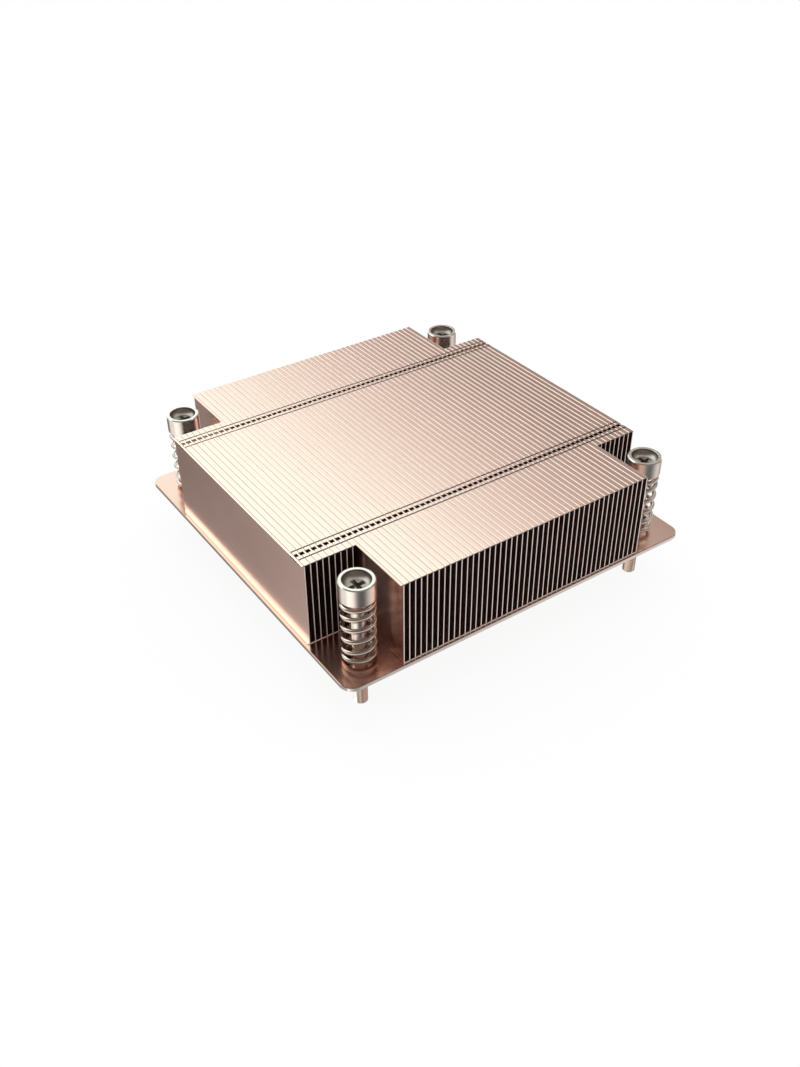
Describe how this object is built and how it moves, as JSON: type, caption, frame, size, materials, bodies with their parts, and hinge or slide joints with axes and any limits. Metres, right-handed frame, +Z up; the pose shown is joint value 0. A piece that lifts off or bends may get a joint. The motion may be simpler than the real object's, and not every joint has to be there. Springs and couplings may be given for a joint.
{
  "type": "passive server processor heatsink",
  "caption": "Low square copper heatsink: a stack of interlocked folded fins on a thin base plate, with a sprung captive screw at each corner.",
  "frame": {"origin": "centre of the base plate's underside, in the processor contact zone", "axes": "+Z up from the processor through the fins, Y along the fins and the air flow, X across the fins; the screw holes are centred on the origin"},
  "size_m": [0.09, 0.09, 0.0323],
  "materials": {
    "copper_plate": "bare copper, rolled and faintly brushed",
    "copper_sheet": "bare bright copper sheet, folded and stamped",
    "nickel_plated_steel": "bright nickel plate on turned steel",
    "spring_steel": "bright nickel-plated spring wire"
  },
  "bodies": {
    "core": {"base_plate": "copper_plate", "short_fins_left": "copper_sheet", "long_fin_01": "copper_sheet", "long_fin_02": "copper_sheet", "long_fin_03": "copper_sheet", "long_fin_04": "copper_sheet", "long_fin_05": "copper_sheet", "long_fin_06": "copper_sheet", "long_fin_07": "copper_sheet", "long_fin_08": "copper_sheet", "long_fin_09": "copper_sheet", "long_fin_10": "copper_sheet", "long_fin_11": "copper_sheet", "long_fin_12": "copper_sheet", "long_fin_13": "copper_sheet", "long_fin_14": "copper_sheet", "long_fin_15": "copper_sheet", "long_fin_16": "copper_sheet", "long_fin_17": "copper_sheet", "long_fin_18": "copper_sheet", "long_fin_19": "copper_sheet", "long_fin_20": "copper_sheet", "long_fin_21": "copper_sheet", "long_fin_22": "copper_sheet", "long_fin_23": "copper_sheet", "long_fin_24": "copper_sheet", "long_fin_25": "copper_sheet", "long_fin_26": "copper_sheet", "long_fin_27": "copper_sheet", "long_fin_28": "copper_sheet", "long_fin_29": "copper_sheet", "long_fin_30": "copper_sheet", "long_fin_31": "copper_sheet", "long_fin_32": "copper_sheet", "long_fin_33": "copper_sheet", "long_fin_34": "copper_sheet", "long_fin_35": "copper_sheet", "long_fin_36": "copper_sheet", "long_fin_37": "copper_sheet", "long_fin_38": "copper_sheet", "long_fin_39": "copper_sheet", "long_fin_40": "copper_sheet", "long_fin_41": "copper_sheet", "long_fin_42": "copper_sheet", "long_fin_43": "copper_sheet", "long_fin_44": "copper_sheet", "long_fin_45": "copper_sheet", "long_fin_46": "copper_sheet", "long_fin_47": "copper_sheet", "short_fins_right": "copper_sheet"},
    "spring_front_left": {"spring_front_left": "spring_steel"},
    "screw_front_left": {"screw_front_left": "nickel_plated_steel"},
    "spring_front_right": {"spring_front_right": "spring_steel"},
    "screw_front_right": {"screw_front_right": "nickel_plated_steel"},
    "spring_back_left": {"spring_back_left": "spring_steel"},
    "screw_back_left": {"screw_back_left": "nickel_plated_steel"},
    "spring_back_right": {"spring_back_right": "spring_steel"},
    "screw_back_right": {"screw_back_right": "nickel_plated_steel"}
  },
  "joints": [
    {"name": "press_front_left", "type": "slide", "parent": "core", "child": "spring_front_left", "axis": [0, 0, 1], "range_m": [-0.009, 0], "stiffness_N_per_m": 3600, "springref_m": 0.0005, "deforming": ["spring_front_left"]},
    {"name": "turn_front_left", "type": "hinge", "parent": "spring_front_left", "child": "screw_front_left", "pos_m": [-0.0375, -0.0375, 0], "axis": [0, 0, 1], "continuous": true},
    {"name": "press_front_right", "type": "slide", "parent": "core", "child": "spring_front_right", "axis": [0, 0, 1], "range_m": [-0.009, 0], "stiffness_N_per_m": 3600, "springref_m": 0.0005, "deforming": ["spring_front_right"]},
    {"name": "turn_front_right", "type": "hinge", "parent": "spring_front_right", "child": "screw_front_right", "pos_m": [0.0375, -0.0375, 0], "axis": [0, 0, 1], "continuous": true},
    {"name": "press_back_left", "type": "slide", "parent": "core", "child": "spring_back_left", "axis": [0, 0, 1], "range_m": [-0.009, 0], "stiffness_N_per_m": 3600, "springref_m": 0.0005, "deforming": ["spring_back_left"]},
    {"name": "turn_back_left", "type": "hinge", "parent": "spring_back_left", "child": "screw_back_left", "pos_m": [-0.0375, 0.0375, 0], "axis": [0, 0, 1], "continuous": true},
    {"name": "press_back_right", "type": "slide", "parent": "core", "child": "spring_back_right", "axis": [0, 0, 1], "range_m": [-0.009, 0], "stiffness_N_per_m": 3600, "springref_m": 0.0005, "deforming": ["spring_back_right"]},
    {"name": "turn_back_right", "type": "hinge", "parent": "spring_back_right", "child": "screw_back_right", "pos_m": [0.0375, 0.0375, 0], "axis": [0, 0, 1], "continuous": true}
  ]
}
